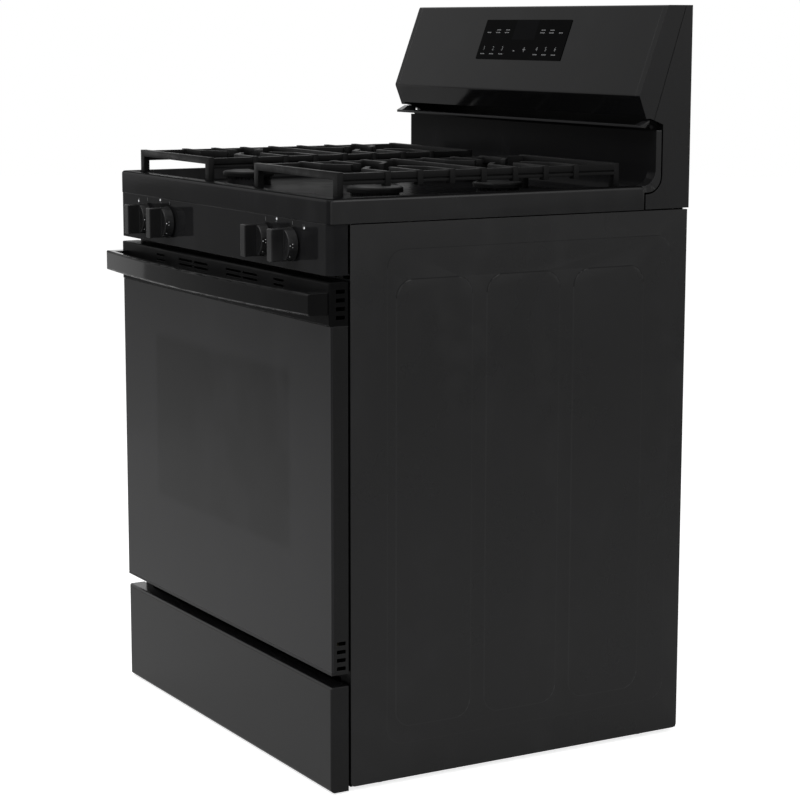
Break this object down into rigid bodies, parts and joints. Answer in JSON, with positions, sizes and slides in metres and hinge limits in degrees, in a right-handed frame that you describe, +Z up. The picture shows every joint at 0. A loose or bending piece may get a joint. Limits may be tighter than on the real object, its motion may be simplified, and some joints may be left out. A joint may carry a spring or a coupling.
{
  "type": "freestanding gas range",
  "caption": "Black freestanding gas range with a drop-down oven door, storage drawer, cast grates over sealed burners, front knobs and a sloping backguard console.",
  "frame": {"origin": "on the floor, under the middle of the overall box", "axes": "+X to the right seen from the front, +Y to the wall behind, +Z up; the door faces -Y"},
  "size_m": [0.76, 0.7019, 1.183],
  "materials": {
    "side_enamel": "satin",
    "gloss_enamel": "gloss",
    "console_enamel": "satin",
    "black_glass": "gloss",
    "touch_glass": "gloss",
    "door_black": "satin",
    "clear_glass": "gloss",
    "cast_iron": "matte enamel",
    "cap_enamel": "satin",
    "burner_alloy": "as cast",
    "galvanised": "galvanised",
    "frame_enamel": "satin",
    "oven_enamel": "speckled porcelain",
    "wire_chrome": "polished",
    "steel": "plain",
    "tube_alloy": "drawn",
    "pipe_black": "black iron",
    "valve_brass": "plain",
    "fibre": "fibre",
    "ceramic": "matte",
    "black_plastic": "satin",
    "board": "matte"
  },
  "bodies": {
    "chassis": {"left_side_panel": "side_enamel", "right_side_panel": "side_enamel", "control_panel": "gloss_enamel", "cooktop": "gloss_enamel", "console_front": "console_enamel", "backguard_end_caps": "console_enamel", "touch_panel": "touch_glass", "oven_lamp": "clear_glass", "burner_caps": "cap_enamel", "burner_heads": "burner_alloy", "pressure_regulator": "burner_alloy", "oven_gas_valve": "burner_alloy", "rear_panel": "galvanised", "base_frame": "galvanised", "backguard_rear_cover": "galvanised", "burner_box": "galvanised", "flue_duct": "galvanised", "front_frame": "frame_enamel", "oven_liner": "oven_enamel", "oven_side_walls": "oven_enamel", "oven_floor": "oven_enamel", "bake_burner": "steel", "broil_burner": "steel", "hinge_arms": "steel", "temperature_probe": "steel", "rear_panel_screws": "steel", "gas_tubes": "tube_alloy", "gas_pipes": "pipe_black", "burner_valves": "valve_brass", "oven_insulation": "fibre", "door_gasket": "fibre", "spark_electrodes": "ceramic", "oven_igniters": "ceramic", "levelling_feet": "black_plastic", "cord_bushing": "black_plastic", "spark_module": "black_plastic", "control_board": "board"},
    "oven_door": {"door_glass": "black_glass", "door_frame": "door_black", "door_trim": "door_black", "door_liner": "oven_enamel", "door_inner_glass": "clear_glass", "door_insulation": "fibre", "door_handle": "door_black", "hinge_brackets": "steel"},
    "storage_drawer": {"drawer_front": "gloss_enamel", "drawer_box": "frame_enamel", "drawer_runners": "galvanised"},
    "left_grate": {"left_grate": "cast_iron"},
    "right_grate": {"right_grate": "cast_iron"},
    "lower_rack": {"oven_rack_lower": "wire_chrome"},
    "upper_rack": {"oven_rack_upper": "wire_chrome"},
    "stem_left_outer": {"valve_stem_left_outer": "steel"},
    "knob_left_outer": {"knob_left_outer": "black_plastic"},
    "stem_left_inner": {"valve_stem_left_inner": "steel"},
    "knob_left_inner": {"knob_left_inner": "black_plastic"},
    "stem_right_inner": {"valve_stem_right_inner": "steel"},
    "knob_right_inner": {"knob_right_inner": "black_plastic"},
    "stem_right_outer": {"valve_stem_right_outer": "steel"},
    "knob_right_outer": {"knob_right_outer": "black_plastic"}
  },
  "joints": [
    {"name": "door_hinge", "type": "hinge", "parent": "chassis", "child": "oven_door", "pos_m": [0, -0.277, 0.193], "axis": [1, 0, 0], "range_deg": [0, 90], "stiffness_Nm_per_rad": 15, "springref_deg": -14.32},
    {"name": "drawer_slide", "type": "slide", "parent": "chassis", "child": "storage_drawer", "axis": [0, -1, 0], "range_m": [0, 0.35]},
    {"name": "left_grate_lift", "type": "slide", "parent": "chassis", "child": "left_grate", "axis": [0, 0, 1], "range_m": [0, 0.08]},
    {"name": "right_grate_lift", "type": "slide", "parent": "chassis", "child": "right_grate", "axis": [0, 0, 1], "range_m": [0, 0.08]},
    {"name": "lower_rack_slide", "type": "slide", "parent": "chassis", "child": "lower_rack", "axis": [0, -1, 0], "range_m": [0, 0.2361]},
    {"name": "upper_rack_slide", "type": "slide", "parent": "chassis", "child": "upper_rack", "axis": [0, -1, 0], "range_m": [0, 0.3147]},
    {"name": "turn_left_outer", "type": "hinge", "parent": "chassis", "child": "stem_left_outer", "pos_m": [-0.265, -0.303, 0.8275], "axis": [0, -1, 0], "range_deg": [0, 250]},
    {"name": "push_left_outer", "type": "slide", "parent": "stem_left_outer", "child": "knob_left_outer", "axis": [0, 1, 0], "range_m": [0, 0.003], "stiffness_N_per_m": 800, "springref_m": -0.004},
    {"name": "turn_left_inner", "type": "hinge", "parent": "chassis", "child": "stem_left_inner", "pos_m": [-0.176, -0.303, 0.8275], "axis": [0, -1, 0], "range_deg": [0, 250]},
    {"name": "push_left_inner", "type": "slide", "parent": "stem_left_inner", "child": "knob_left_inner", "axis": [0, 1, 0], "range_m": [0, 0.003], "stiffness_N_per_m": 800, "springref_m": -0.004},
    {"name": "turn_right_inner", "type": "hinge", "parent": "chassis", "child": "stem_right_inner", "pos_m": [0.176, -0.303, 0.8275], "axis": [0, -1, 0], "range_deg": [0, 250]},
    {"name": "push_right_inner", "type": "slide", "parent": "stem_right_inner", "child": "knob_right_inner", "axis": [0, 1, 0], "range_m": [0, 0.003], "stiffness_N_per_m": 800, "springref_m": -0.004},
    {"name": "turn_right_outer", "type": "hinge", "parent": "chassis", "child": "stem_right_outer", "pos_m": [0.265, -0.303, 0.8275], "axis": [0, -1, 0], "range_deg": [0, 250]},
    {"name": "push_right_outer", "type": "slide", "parent": "stem_right_outer", "child": "knob_right_outer", "axis": [0, 1, 0], "range_m": [0, 0.003], "stiffness_N_per_m": 800, "springref_m": -0.004}
  ],
  "couplings": [
    {"joint": "lower_rack_slide", "follows": "door_hinge", "m_per_rad": 0.15},
    {"joint": "upper_rack_slide", "follows": "door_hinge", "m_per_rad": 0.2}
  ]
}
